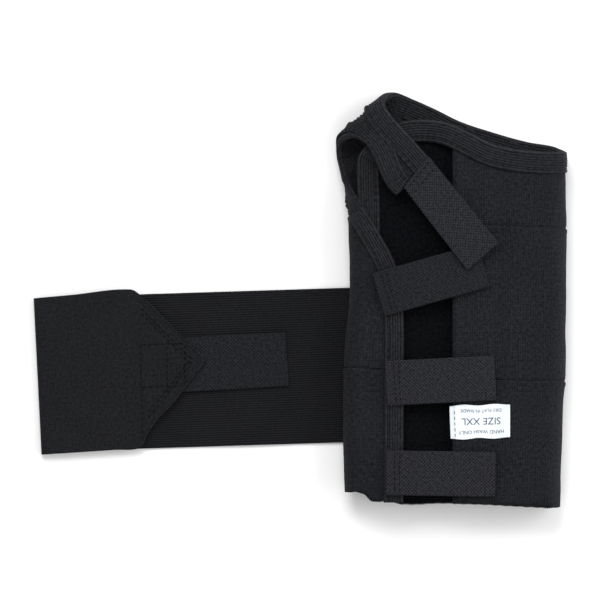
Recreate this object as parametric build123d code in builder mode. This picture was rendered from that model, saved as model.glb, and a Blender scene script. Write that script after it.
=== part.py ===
"""Elastic wrist splint for the right hand, lying flat with its closure upwards.

Millimetres. The origin is under the middle of the wrist band, on the surface the splint lies on.
+X runs across the splint from the thumb side to the little-finger side, +Y towards the fingers,
and +Z up from the palm side to the closure side.
"""
import os
from math import cos, radians, sin
from build123d import *

# Sleeve, a flattened ring of three elastic bands
sleeve_width = 109.0
sleeve_height = 19.0
band_thick = 2.0
forearm_end = -98.0
lower_seam = -36.8
upper_seam = 37.5
seam_rise = 6.0

# Ribbed edge binding
binding_width = 10.0
binding_thick = 1.2
binding_cap = 1.0

# Finger end: how far each edge reaches at the little-finger side, and how much it climbs
palm_edge_right = 75.0
palm_edge_climb = 26.0
front_edge_right = 74.5
front_edge_climb = 15.4
front_shoulder_x = -29.0
tongue_corner = 2.5

# Front opening
right_panel_edge = -1.7
tongue_edge = -47.0
tongue_thick = 1.6
tongue_seam_width = 8.0
flap_edge = -25.4
thumb_notch_top = 46.0
thumb_notch_foot = -3.0
thumb_notch_reach = 32.0
thumb_notch_rise = 20.0
thumb_notch_shoulder = (23.9, 4.7)
thumb_notch_middle = (9.8, 31.3)
thumb_notch_heel = (3.6, 18.9)
thumb_side_bulge = 3.2
thumb_wall_rise = 12.0
crotch_binding_width = 5.0
hinge_gap = 0.3
layer_gap = 0.2

# Palm side: lining, pocket and stay
lining_thick = 1.4
lining_margin = 4.0
stay_width = 28.0
stay_length = 165.0
stay_thick = 1.6
stay_corner = 8.0
stay_start = -92.0
pocket_side = 4.0
pocket_cover = 0.8
pocket_mouth = 2.0
stay_side_clearance = 0.5
stay_lift_clearance = 0.2

# Hook tabs on the front flap
tab_width = 22.0
tab_length = 55.0
tab_thick = 1.3
tab_sewn = 11.5
upper_tab_y = 4.6
middle_tab_y = -39.0
lower_tab_y = -83.0
upper_tab_angle = 15.8
middle_tab_angle = 2.9
lower_tab_angle = -0.8
upper_tab_x = -38.2
lower_tabs_x = -34.4

# Thumb strap and its tab
thumb_angle = -50.0
thumb_fold_x = -45.0
thumb_fold_y = 93.5
thumb_fold_width = 32.0
thumb_fold_overlap = 6.0
thumb_strap_width = 20.7
thumb_strap_length = 36.0
thumb_core_thick = 1.2
thumb_binding_thick = 0.6
thumb_binding_width = 9.8
thumb_tab_width = 20.5
thumb_tab_length = 54.0
thumb_tab_sewn = 8.0

# Wrap strap
strap_width = 76.2
strap_thick = 1.2
strap_angle = 1.8
strap_run = 149.0
strap_fold_gap = 1.8
strap_root_reach = 20.0
strap_root_x = -57.2
strap_root_y = -30.2
end_angle = 4.2
end_straight = 50.5
end_point = 32.7
end_tip_offset = 2.0
wrap_tab_width = 26.5
wrap_tab_start = 57.0
wrap_tab_end = 123.3

# Size label
label_length = 29.0
label_width = 16.7
label_thick = 0.3
label_top = -49.8

# Overlocked edge at the forearm end
overlock_width = 3.0
overlock_thick = 0.4

# Levels and radii that follow from the sizes above
fold_radius = sleeve_height / 2
fold_centre = sleeve_width / 2 - fold_radius
palm_low = strap_thick
palm_high = palm_low + band_thick
ring_mid = palm_low + fold_radius
front_high = palm_low + sleeve_height
front_low = front_high - band_thick
flap_binding_low = front_low - binding_thick
flap_binding_high = front_high + binding_thick
tongue_high = flap_binding_low - layer_gap - binding_thick
tongue_low = tongue_high - tongue_thick
tab_low = flap_binding_high + layer_gap
tab_high = tab_low + tab_thick
thumb_tab_low = tab_high + 2 * layer_gap
thumb_tab_high = thumb_tab_low + tab_thick
thumb_low = flap_binding_high + 2 * layer_gap
thumb_high = thumb_low + thumb_core_thick + 2 * thumb_binding_thick
thumb_fold_radius = (thumb_high - palm_low) / 2
thumb_fold_thick = thumb_high - thumb_low
thumb_hinge = thumb_fold_radius + hinge_gap / 2
flap_hinge = -fold_centre - hinge_gap / 2
lining_high = palm_high + lining_thick
stay_low = lining_high + stay_lift_clearance
pocket_high = stay_low + stay_thick + stay_lift_clearance + pocket_cover
wrap_tab_low = strap_thick + layer_gap
wrap_end_low = wrap_tab_low + tab_thick + layer_gap
sleeve_top = palm_edge_right + palm_edge_climb + 10
beyond = sleeve_width
above = sleeve_height * 2
wall_top = thumb_notch_top + thumb_wall_rise
side_beyond = beyond / 2 + 5


def slanted_plane(x, y, z, angle):
    """Plane level with the table whose own X axis is turned by an angle."""
    turn = radians(angle)
    return Plane(origin=(x, y, z), x_dir=(cos(turn), sin(turn), 0), z_dir=(0, 0, 1))


def ring_section(outside, inside):
    """Section across the sleeve: a flattened ring, grown outwards and inwards by two amounts."""
    with BuildSketch() as section:
        with Locations((0, ring_mid)):
            SlotCenterToCenter(2 * fold_centre, sleeve_height + 2 * outside)
            hollow = sleeve_height - 2 * band_thick - 2 * inside
            SlotCenterToCenter(2 * fold_centre, hollow, mode=Mode.SUBTRACT)
        gap = right_panel_edge - flap_hinge + hinge_gap / 2
        with Locations((right_panel_edge - gap / 2, front_high)):
            Rectangle(gap, sleeve_height, mode=Mode.SUBTRACT)
    return section.sketch


def palm_outline(inset):
    """Outline of the palm side above the upper seam, with the finger edge moved in."""
    right = palm_edge_right - inset
    with BuildSketch() as outline:
        with BuildLine():
            fold = slanted_plane(thumb_fold_x, thumb_fold_y, 0, thumb_angle)
            high = fold.from_local_coords((thumb_fold_radius, thumb_fold_width / 2 + thumb_fold_overlap - inset))
            low = fold.from_local_coords((thumb_fold_radius, -thumb_fold_width / 2))
            top = (high.X, high.Y)
            corner = (low.X, low.Y)
            edge = Spline(
                (side_beyond, right - 1),
                (0.33 * sleeve_width, right + 0.17 * palm_edge_climb),
                (0, right + 0.58 * palm_edge_climb),
                top,
            )
            side = inset - sleeve_width / 2
            Polyline(
                top,
                corner,
                (side - thumb_side_bulge, corner[1]),
                (side, wall_top),
                (-side_beyond, wall_top),
                (-side_beyond, upper_seam + seam_rise),
                (side_beyond, upper_seam),
                edge @ 0,
            )
        make_face()
    return outline.sketch


def front_outline(inset, left):
    """Outline of the closure side from the forearm end to the finger edge, moved in at its edges."""
    right = front_edge_right - inset
    with BuildSketch() as outline:
        with BuildLine():
            shoulder = (front_shoulder_x, right + 0.88 * front_edge_climb)
            edge = Spline(
                (side_beyond, right - 0.5),
                (0.28 * sleeve_width, right + 0.06 * front_edge_climb),
                (0.08 * sleeve_width, right + 0.51 * front_edge_climb),
                (-0.11 * sleeve_width, right + front_edge_climb),
                shoulder,
            )
            Polyline(
                shoulder,
                (left + tongue_corner, right + 0.12 * front_edge_climb),
                (left, right - 3),
                (left, forearm_end),
                (side_beyond, forearm_end),
                edge @ 0,
            )
        make_face()
    return outline.sketch


def flap_outline(inset):
    """Outline of the thumb-side flap with its free edge moved in."""
    edge = flap_edge - inset
    with BuildSketch() as outline:
        with BuildLine():
            notch = Spline(
                (edge - thumb_notch_reach, thumb_notch_top + thumb_notch_rise),
                (edge - thumb_notch_shoulder[0], thumb_notch_top + thumb_notch_shoulder[1]),
                (edge - thumb_notch_middle[0], thumb_notch_middle[1]),
                (edge - thumb_notch_heel[0], thumb_notch_heel[1]),
                (edge, thumb_notch_foot),
            )
            Polyline(
                notch @ 1,
                (edge, forearm_end),
                (-beyond, forearm_end),
                (-beyond, thumb_notch_top + thumb_notch_rise),
                notch @ 0,
            )
        make_face()
        with Locations((-beyond - fold_centre + hinge_gap / 2, 0)):
            Rectangle(2 * beyond, 4 * sleeve_top, mode=Mode.SUBTRACT)
    return outline.sketch


def seam_limits(low, high):
    """Area of one band between two seams, which climb towards the thumb side."""
    with BuildSketch() as area:
        with BuildLine():
            Polyline(
                (-beyond, low + seam_rise * 1.5),
                (beyond, low - seam_rise * 0.5),
                (beyond, high - seam_rise * 0.5),
                (-beyond, high + seam_rise * 1.5),
                close=True,
            )
        make_face()
    return area.sketch


def sleeve_band(low, high):
    """One band of the sleeve, which goes round everything but the front opening."""
    with BuildPart() as band:
        with BuildSketch(Plane.XZ.offset(-sleeve_top)):
            add(ring_section(0, 0))
        extrude(amount=sleeve_top - forearm_end)
        with BuildSketch():
            add(seam_limits(low, high))
        extrude(amount=above, mode=Mode.INTERSECT)
    return band


def flap_panel(low, high):
    """One panel of the thumb-side flap."""
    with BuildPart() as panel:
        with BuildSketch(Plane.XY.offset(front_low)):
            add(flap_outline(binding_cap))
        extrude(amount=band_thick)
        with BuildSketch():
            add(seam_limits(low, high))
        extrude(amount=above, mode=Mode.INTERSECT)
    return panel


def flat_strip(place, start, end, width, thick):
    """Straight strip of webbing on a plane, from one distance along it to another."""
    with BuildPart() as strip:
        with BuildSketch(place):
            with Locations(((start + end) / 2, 0)):
                Rectangle(end - start, width)
        extrude(amount=thick)
    return strip


def thumb_binding(side):
    """Folded binding on one edge of the thumb strap, 1 for the finger side and -1 for the other."""
    middle = side * (thumb_strap_width / 2 - thumb_binding_width / 2)
    start = thumb_hinge + hinge_gap / 2
    with BuildPart() as binding:
        with BuildSketch(slanted_plane(thumb_fold_x, thumb_fold_y, thumb_low, thumb_angle)):
            with Locations(((start + thumb_strap_length) / 2, middle)):
                Rectangle(thumb_strap_length - start, thumb_binding_width)
        extrude(amount=thumb_high - thumb_low)
        core_low = thumb_low + thumb_binding_thick
        with BuildSketch(slanted_plane(thumb_fold_x, thumb_fold_y, core_low, thumb_angle)):
            with Locations(((start + thumb_strap_length) / 2, 0)):
                Rectangle(thumb_strap_length, thumb_strap_width - 2 * binding_cap)
        extrude(amount=thumb_core_thick, mode=Mode.SUBTRACT)
    return binding


# Sleeve bands
wrist_band = sleeve_band(lower_seam, upper_seam)
forearm_band = sleeve_band(forearm_end - beyond, lower_seam)

with BuildPart() as hand_band:
    with BuildSketch(Plane.XZ.offset(-sleeve_top)):
        add(ring_section(0, 0))
    extrude(amount=sleeve_top - forearm_end)
    with BuildSketch():
        add(seam_limits(upper_seam, upper_seam + beyond))
    extrude(amount=above, mode=Mode.INTERSECT)
    with BuildSketch():
        add(palm_outline(binding_cap))
    extrude(amount=above, mode=Mode.INTERSECT)
    with BuildSketch(Plane.XY.offset(ring_mid)):
        with Locations((beyond + right_panel_edge, sleeve_top)):
            Rectangle(2 * beyond, 2 * (sleeve_top - upper_seam))
        add(front_outline(binding_cap, tongue_edge), mode=Mode.SUBTRACT)
    extrude(amount=above, mode=Mode.SUBTRACT)
    with BuildSketch(Plane.XY.offset(ring_mid)):
        with BuildLine():
            Polyline(
                (-beyond, wall_top),
                (-sleeve_width / 2, wall_top),
                (-fold_centre, thumb_notch_top - binding_cap),
                (0, thumb_notch_top - binding_cap),
                (0, sleeve_top),
                (-beyond, sleeve_top),
                close=True,
            )
        make_face()
        with Locations((beyond / 2 + right_panel_edge, sleeve_top)):
            Rectangle(beyond, 4 * sleeve_top, mode=Mode.SUBTRACT)
    extrude(amount=above, mode=Mode.SUBTRACT)
    with BuildSketch():
        with Locations((-fold_centre - sleeve_width / 2, wall_top + sleeve_width / 2)):
            Rectangle(sleeve_width, sleeve_width)
    extrude(amount=above, mode=Mode.SUBTRACT)
    with BuildSketch(Plane.XY.offset(palm_low)):
        add(palm_outline(binding_cap))
        with Locations((-fold_centre - sleeve_width / 2, wall_top + sleeve_width / 2)):
            Rectangle(sleeve_width, sleeve_width, mode=Mode.INTERSECT)
    extrude(amount=band_thick)

# Thumb-side flap
flap_wrist_panel = flap_panel(lower_seam, upper_seam)
flap_forearm_panel = flap_panel(forearm_end - beyond, lower_seam)

with BuildPart() as thumb_edge_binding:
    with BuildSketch(Plane.XY.offset(flap_binding_low)):
        add(flap_outline(0))
        add(flap_outline(binding_width), mode=Mode.SUBTRACT)
    extrude(amount=flap_binding_high - flap_binding_low)
    with BuildSketch(Plane.XY.offset(front_low)):
        add(flap_outline(binding_cap))
    extrude(amount=band_thick, mode=Mode.SUBTRACT)

# Padded tongue, sewn under the edge of the right front panel
with BuildPart() as dorsal_tongue:
    with BuildSketch(Plane.XY.offset(tongue_low)):
        add(front_outline(binding_cap, tongue_edge + binding_cap))
        with Locations((beyond + right_panel_edge + tongue_seam_width, 0)):
            Rectangle(2 * beyond, 4 * sleeve_top, mode=Mode.SUBTRACT)
    extrude(amount=tongue_thick)
    with BuildSketch(Plane.XY.offset(tongue_high)):
        add(front_outline(binding_width, tongue_edge))
        with Locations((right_panel_edge + tongue_seam_width / 2, 0)):
            Rectangle(tongue_seam_width, 4 * sleeve_top, mode=Mode.INTERSECT)
    extrude(amount=front_low - tongue_high)

# Binding along the finger edge: tongue, right front panel, round the fold, and along the palm side
with BuildPart() as tongue_edge_binding:
    with BuildSketch(Plane.XY.offset(tongue_low - binding_thick)):
        add(front_outline(0, tongue_edge))
        add(front_outline(binding_width, tongue_edge + binding_width), mode=Mode.SUBTRACT)
        with Locations((beyond + right_panel_edge - hinge_gap, 0)):
            Rectangle(2 * beyond, 4 * sleeve_top, mode=Mode.SUBTRACT)
    extrude(amount=tongue_thick + 2 * binding_thick)
    with BuildSketch(Plane.XY.offset(tongue_low)):
        add(front_outline(binding_cap, tongue_edge + binding_cap))
    extrude(amount=tongue_thick, mode=Mode.SUBTRACT)

with BuildPart() as finger_edge_binding:
    with BuildSketch(Plane.XZ.offset(-sleeve_top)):
        add(ring_section(binding_thick, binding_thick))
        with Locations((-beyond - fold_centre + binding_cap, ring_mid)):
            Rectangle(2 * beyond, above, mode=Mode.SUBTRACT)
    extrude(amount=sleeve_top - upper_seam)
    with BuildSketch(Plane.XY.offset(ring_mid)):
        Rectangle(4 * beyond, 4 * sleeve_top)
        add(front_outline(0, tongue_edge), mode=Mode.SUBTRACT)
        add(front_outline(binding_width, tongue_edge))
    extrude(amount=above, mode=Mode.SUBTRACT)
    with BuildSketch(Plane.XY.offset(-band_thick)):
        Rectangle(4 * beyond, 4 * sleeve_top)
        add(palm_outline(0), mode=Mode.SUBTRACT)
        add(palm_outline(binding_width))
    extrude(amount=ring_mid + band_thick, mode=Mode.SUBTRACT)
    add(hand_band.part, mode=Mode.SUBTRACT)

# Where the palm side turns up round the thumb
with BuildPart() as thumb_crotch_binding:
    with BuildSketch(Plane.XY.offset(palm_low - binding_thick)):
        add(palm_outline(0))
        add(palm_outline(crotch_binding_width), mode=Mode.SUBTRACT)
        with Locations((-fold_centre - sleeve_width / 2 - hinge_gap, wall_top + sleeve_width / 2)):
            Rectangle(sleeve_width, sleeve_width, mode=Mode.INTERSECT)
    extrude(amount=band_thick + 2 * binding_thick)
    add(hand_band.part, mode=Mode.SUBTRACT)

with BuildPart() as thumb_strap_root:
    fold_start = thumb_fold_width / 2
    fold_plane = slanted_plane(thumb_fold_x, thumb_fold_y, 0, thumb_angle)
    side_plane = Plane(
        origin=fold_plane.from_local_coords((0, -fold_start, 0)),
        x_dir=fold_plane.x_dir,
        z_dir=-fold_plane.y_dir,
    )
    with BuildSketch(side_plane):
        with Locations((thumb_fold_radius, palm_low + thumb_fold_radius)):
            Circle(thumb_fold_radius)
            Circle(thumb_fold_radius - thumb_fold_thick, mode=Mode.SUBTRACT)
        with Locations((thumb_fold_radius + beyond / 2, palm_low + thumb_fold_radius)):
            Rectangle(beyond, above, mode=Mode.SUBTRACT)
    extrude(amount=-thumb_fold_width)

# Palm side, inside
with BuildPart() as palmar_lining:
    lining_start = forearm_end + lining_margin
    lining_finish = palm_edge_right - lining_margin - binding_width
    with BuildSketch(Plane.XY.offset(palm_high)):
        with Locations((0, (lining_start + lining_finish) / 2)):
            Rectangle(2 * fold_centre - lining_margin, lining_finish - lining_start)
    extrude(amount=lining_thick)

with BuildPart() as stay_pocket:
    pocket_width = stay_width + 2 * stay_side_clearance + 2 * pocket_side
    pocket_start = stay_start - pocket_mouth
    pocket_finish = stay_start + stay_length + stay_side_clearance
    with BuildSketch(Plane.XY.offset(lining_high)):
        with Locations((0, (pocket_start + pocket_finish + pocket_side) / 2)):
            Rectangle(pocket_width, pocket_finish + pocket_side - pocket_start)
    extrude(amount=pocket_high - lining_high)
    with BuildSketch(Plane.XY.offset(lining_high)):
        with Locations((0, (pocket_start - pocket_side + pocket_finish) / 2)):
            tunnel = pocket_finish - pocket_start + pocket_side
            Rectangle(stay_width + 2 * stay_side_clearance, tunnel)
    extrude(amount=pocket_high - pocket_cover - lining_high, mode=Mode.SUBTRACT)

with BuildPart() as palmar_stay:
    with BuildSketch(Plane.XY.offset(stay_low)):
        with Locations((0, stay_start + stay_length / 2)):
            RectangleRounded(stay_width, stay_length, stay_corner)
    extrude(amount=stay_thick)

# Overlocked edges at the forearm end
with BuildPart() as forearm_end_overlock:
    with BuildSketch(Plane.XZ.offset(-forearm_end - overlock_width)):
        add(ring_section(overlock_thick, overlock_thick))
        with Locations(((right_panel_edge + tongue_seam_width + flap_hinge) / 2 - band_thick, front_low)):
            gap = right_panel_edge + tongue_seam_width - flap_hinge + 2 * band_thick
            Rectangle(gap, 4 * band_thick, mode=Mode.SUBTRACT)
    extrude(amount=overlock_width + overlock_thick)
    add(forearm_band.part, mode=Mode.SUBTRACT)

# Hook tabs: sewn end on the flap, free end over the opening
tab_places = {
    "upper": (upper_tab_x, upper_tab_y, upper_tab_angle),
    "middle": (lower_tabs_x, middle_tab_y, middle_tab_angle),
    "lower": (lower_tabs_x, lower_tab_y, lower_tab_angle),
}
tab_roots = {}
tab_free = {}
for name, (x, y, angle) in tab_places.items():
    root_place = slanted_plane(x, y, flap_binding_high, angle)
    free_place = slanted_plane(x, y, tab_low, angle)
    root_thick = tab_high - flap_binding_high
    tab_roots[name] = flat_strip(root_place, 0, tab_sewn, tab_width, root_thick)
    tab_free[name] = flat_strip(free_place, tab_sewn + hinge_gap, tab_length, tab_width, tab_thick)

# Thumb strap: core, two folded bindings, and the sewn end of its hook tab
core_place = slanted_plane(thumb_fold_x, thumb_fold_y, thumb_low + thumb_binding_thick, thumb_angle)
core_width = thumb_strap_width - 2 * binding_cap
core_start = thumb_hinge + hinge_gap / 2
thumb_strap_core = flat_strip(core_place, core_start, thumb_strap_length, core_width, thumb_core_thick)
thumb_finger_side_binding = thumb_binding(1)
thumb_palm_side_binding = thumb_binding(-1)

tab_root_finish = thumb_strap_length + thumb_tab_sewn
tab_root_low = thumb_low + thumb_binding_thick
root_place = slanted_plane(thumb_fold_x, thumb_fold_y, tab_root_low, thumb_angle)
root_thick = thumb_tab_high - tab_root_low
thumb_tab_root = flat_strip(root_place, thumb_strap_length, tab_root_finish, thumb_tab_width, root_thick)
free_place = slanted_plane(thumb_fold_x, thumb_fold_y, thumb_tab_low, thumb_angle)
free_start = tab_root_finish + hinge_gap
free_finish = thumb_strap_length + thumb_tab_length
thumb_tab = flat_strip(free_place, free_start, free_finish, thumb_tab_width, tab_thick)

# Wrap strap: root sewn under the palm, run on the table, end folded back
strap_place = slanted_plane(strap_root_x, strap_root_y, 0, 180 + strap_angle)
wrap_strap_root = flat_strip(strap_place, strap_root_x - strap_root_reach, 0, strap_width, strap_thick)
wrap_strap_run = flat_strip(strap_place, hinge_gap, strap_run - strap_fold_gap, strap_width, strap_thick)

fold_middle = strap_place.from_local_coords((strap_run, 0, 0))
end_place = slanted_plane(fold_middle.X, fold_middle.Y, wrap_end_low, end_angle)
with BuildPart() as wrap_strap_end:
    with BuildSketch(end_place):
        with BuildLine():
            half = strap_width / 2
            Polyline(
                (strap_fold_gap, -half),
                (end_straight, -half),
                (end_straight + end_point, end_tip_offset),
                (end_straight, half),
                (strap_fold_gap, half),
                close=True,
            )
        make_face()
    extrude(amount=strap_thick)

tab_level = slanted_plane(fold_middle.X, fold_middle.Y, wrap_tab_low, end_angle)
wrap_tab_bend = end_straight + end_point + hinge_gap
root_thick = wrap_end_low - wrap_tab_low
wrap_tab_root = flat_strip(tab_level, wrap_tab_start, wrap_tab_bend, wrap_tab_width, root_thick)
wrap_tab = flat_strip(tab_level, wrap_tab_bend + hinge_gap, wrap_tab_end, wrap_tab_width, tab_thick)

# Size label, sewn at the edge of the right front panel
with BuildPart() as size_label:
    with BuildSketch(Plane.XY.offset(front_high)):
        with Locations((right_panel_edge + label_length / 2, label_top - label_width / 2)):
            Rectangle(label_length, label_width)
    extrude(amount=label_thick)

pieces = {
    "hand_band": hand_band,
    "wrist_band": wrist_band,
    "forearm_band": forearm_band,
    "palmar_lining": palmar_lining,
    "stay_pocket": stay_pocket,
    "palmar_stay": palmar_stay,
    "dorsal_tongue": dorsal_tongue,
    "tongue_edge_binding": tongue_edge_binding,
    "finger_edge_binding": finger_edge_binding,
    "thumb_crotch_binding": thumb_crotch_binding,
    "forearm_end_overlock": forearm_end_overlock,
    "size_label": size_label,
    "flap_wrist_panel": flap_wrist_panel,
    "flap_forearm_panel": flap_forearm_panel,
    "thumb_edge_binding": thumb_edge_binding,
    "upper_tab_root": tab_roots["upper"],
    "middle_tab_root": tab_roots["middle"],
    "lower_tab_root": tab_roots["lower"],
    "upper_tab": tab_free["upper"],
    "middle_tab": tab_free["middle"],
    "lower_tab": tab_free["lower"],
    "thumb_strap_root": thumb_strap_root,
    "thumb_strap_core": thumb_strap_core,
    "thumb_finger_side_binding": thumb_finger_side_binding,
    "thumb_palm_side_binding": thumb_palm_side_binding,
    "thumb_tab_root": thumb_tab_root,
    "thumb_tab": thumb_tab,
    "wrap_strap_root": wrap_strap_root,
    "wrap_strap_run": wrap_strap_run,
    "wrap_strap_end": wrap_strap_end,
    "wrap_tab_root": wrap_tab_root,
    "wrap_tab": wrap_tab,
}

os.makedirs("parts", exist_ok=True)
for label, piece in pieces.items():
    piece.part.label = label
    export_step(piece.part, f"parts/{label}.step")
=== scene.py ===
"""Looks of an elastic wrist splint, lying flat with its closure upwards. Lengths are in millimetres
until a mesh is made, +Y points to the fingers and the thumb side is at -X."""
import math
import bpy
import numpy as np
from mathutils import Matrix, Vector, noise


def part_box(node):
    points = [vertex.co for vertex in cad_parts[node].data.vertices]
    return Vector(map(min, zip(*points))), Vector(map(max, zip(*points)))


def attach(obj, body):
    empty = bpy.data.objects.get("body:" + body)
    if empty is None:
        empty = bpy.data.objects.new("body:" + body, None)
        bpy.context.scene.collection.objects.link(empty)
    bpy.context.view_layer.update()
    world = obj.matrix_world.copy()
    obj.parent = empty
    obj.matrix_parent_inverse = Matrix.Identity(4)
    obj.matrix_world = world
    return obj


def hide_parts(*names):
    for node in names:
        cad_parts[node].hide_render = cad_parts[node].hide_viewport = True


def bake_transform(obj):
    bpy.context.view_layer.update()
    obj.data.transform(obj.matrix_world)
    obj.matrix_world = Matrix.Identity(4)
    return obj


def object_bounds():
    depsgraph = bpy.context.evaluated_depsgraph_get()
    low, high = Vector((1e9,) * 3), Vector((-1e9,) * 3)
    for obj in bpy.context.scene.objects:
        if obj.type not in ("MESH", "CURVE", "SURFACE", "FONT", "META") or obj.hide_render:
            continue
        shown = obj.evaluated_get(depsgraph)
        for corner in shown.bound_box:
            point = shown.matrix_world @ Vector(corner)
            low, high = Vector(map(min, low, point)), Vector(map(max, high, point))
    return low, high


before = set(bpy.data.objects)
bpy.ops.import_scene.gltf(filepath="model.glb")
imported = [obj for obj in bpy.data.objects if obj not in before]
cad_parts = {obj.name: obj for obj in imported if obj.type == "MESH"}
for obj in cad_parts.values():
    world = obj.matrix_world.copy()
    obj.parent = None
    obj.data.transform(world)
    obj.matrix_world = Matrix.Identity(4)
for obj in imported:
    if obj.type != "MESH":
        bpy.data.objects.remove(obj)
cad_low, cad_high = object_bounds()

MM = 0.001
UP = Vector((0, 0, 1))


def high(node):
    """Top of a node in millimetres."""
    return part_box(node)[1].z / MM


def low(node):
    """Underside of a node in millimetres."""
    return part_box(node)[0].z / MM


# Levels from the frame
PALM_LOW = low("wrist_band")
FRONT_TOP = high("wrist_band")
MID = (PALM_LOW + FRONT_TOP) / 2
TONGUE_LEVEL = high("dorsal_tongue") - 2.6
TAB_TOP = high("upper_tab")
THUMB_TAB_TOP = high("thumb_tab")
THUMB_TOP = high("thumb_strap_core")
STRAP_TOP = high("wrap_strap_run")
END_TOP = high("wrap_strap_end")
FLOOR_CLEAR = 0.55

# Half-oval folds down both sides of the sleeve
FOLD_REACH = 8.0
FOLD_RISE = (FRONT_TOP - PALM_LOW) / 2

# Thickness of each sheet
FABRIC = 1.3
TONGUE_THICK = 1.8
LINING_THICK = 1.0
POCKET_THICK = 0.7
BINDING_THICK = 0.45
WEB_THICK = 0.9
TAPE_THICK = 1.2
STRAP_THICK = 0.85
LABEL_THICK = 0.22

# Ribs of the binding tape and of the wide strap
RIB_PITCH = 1.25
RIB_RISE = 0.26
STRAP_RIB_PITCH = 1.16
STRAP_RIB_RISE = 0.08

# Widths of the threads
BINDING_THREAD = 0.42
STRAP_THREAD = 0.55
SEAM_THREAD = 0.32
OVERLOCK_THREAD = 0.6

# Plan shape of the sleeve: (Y, X) down each side, and (X, Y) along each end
RIGHT_SIDE = [(-101, 51.4), (-47, 53.1), (-37, 54.0), (-13, 54.3), (37, 54.5), (76, 53.5)]
LEFT_SIDE = [(-98, -54.8), (-69, -55.4), (-27, -55.0), (8, -52.2), (44, -53.4), (56, -53.6), (63, -55.6),
             (71, -58.2), (80, -58.4)]
PANEL_EDGE = -1.7
FLAP_EDGE = [(-99, -25.4), (-40, -25.2), (-3, -25.4), (8, -26.6), (18.9, -29), (25.1, -31.7), (31.3, -35.2),
             (41, -41.3), (46.5, -45.6)]
FOREARM_END = [(-56, -92.7), (-45.4, -93.5), (-41.8, -96.8), (-37.5, -97.2), (-34, -96.4), (-29, -98.2),
               (-6, -98.2), (12, -98.6), (37, -99.9), (48.6, -100.3), (56, -99)]
FRONT_EDGE = [(-48, 72), (-44.9, 76.3), (-29, 88.2), (-21, 89.9), (-12.3, 89.9), (-3.4, 88.2), (8.9, 82.4),
              (17.7, 78.1), (30.1, 75.4), (43.2, 74.3), (56, 74.6)]
PALM_EDGE = [(-30.9, 104), (-20.2, 100.5), (-10.5, 95.6), (1.9, 89.5), (17.7, 84.2), (35.3, 79.3),
             (48.7, 76.9), (56, 75)]
UPPER_SEAM = [(-60, 43.7), (-40, 43.0), (-2, 40.0), (56, 37.4)]
LOWER_SEAM = [(-60, -31.4), (-40, -31.8), (-2, -36.0), (56, -37.9)]
# Y of the thumb opening's edge round the left fold, from the palm (0) to the front (1)
THUMB_SIDE_EDGE = [(0, 83.5), (0.2, 82), (0.32, 77.5), (0.41, 66), (0.5, 60.5), (0.66, 55), (0.84, 50),
                   (1, 45.6)]

# Thumb strap frame: its fold's middle, direction along it, direction across it
THUMB_FOLD = Vector((-45.0, 93.5, 0))
THUMB_TURN = math.radians(-50)
ALONG = Vector((math.cos(THUMB_TURN), math.sin(THUMB_TURN), 0))
ACROSS = Vector((-math.sin(THUMB_TURN), math.cos(THUMB_TURN), 0))
PALM_INSET = 11.5


# ---- helpers

def follow(points, at):
    """Smooth value at a place along a short list of (place, value) points."""
    places = [p[0] for p in points]
    values = [p[1] for p in points]
    at = min(max(at, places[0]), places[-1])
    k = min(max(int(np.searchsorted(places, at)) - 1, 0), len(places) - 2)
    span = places[k + 1] - places[k]
    before = (values[k] - values[k - 1]) / (places[k] - places[k - 1]) if k else None
    here = (values[k + 1] - values[k]) / span
    after = None
    if k + 2 < len(places):
        after = (values[k + 2] - values[k + 1]) / (places[k + 2] - places[k + 1])
    start = here if before is None else (before + here) / 2
    finish = here if after is None else (after + here) / 2
    t = (at - places[k]) / span
    return (
        values[k] * (1 + 2 * t) * (1 - t) ** 2
        + values[k + 1] * t * t * (3 - 2 * t)
        + span * (start * t * (1 - t) ** 2 - finish * t * t * (1 - t))
    )


def clamp(share):
    """A share held between 0 and 1."""
    return min(max(share, 0), 1)


def wave(at, pitch, turn=0.0):
    """Sine wave of a pitch along a length."""
    return math.sin(2 * math.pi * at / pitch + turn)


def bell(away, wide):
    """Bump of height 1 that fades over about twice its width."""
    return math.exp(-(away / wide) ** 2)


def thumb(u, v, z):
    """Point in the thumb strap's own directions: along it, across it, and up."""
    return THUMB_FOLD + ALONG * u + ACROSS * v + UP * z


def drift(x, y, size, height, seed=0.0):
    """Gentle unevenness of soft fabric."""
    return height * noise.noise(Vector((x / size + seed, y / size, seed)))


def link(name, mesh):
    """A new object with a mesh, in the scene."""
    piece = bpy.data.objects.new(name, mesh)
    bpy.context.scene.collection.objects.link(piece)
    return piece


def only(piece):
    """Makes one piece the selected and active one."""
    bpy.ops.object.select_all(action="DESELECT")
    piece.select_set(True)
    bpy.context.view_layer.objects.active = piece


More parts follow.
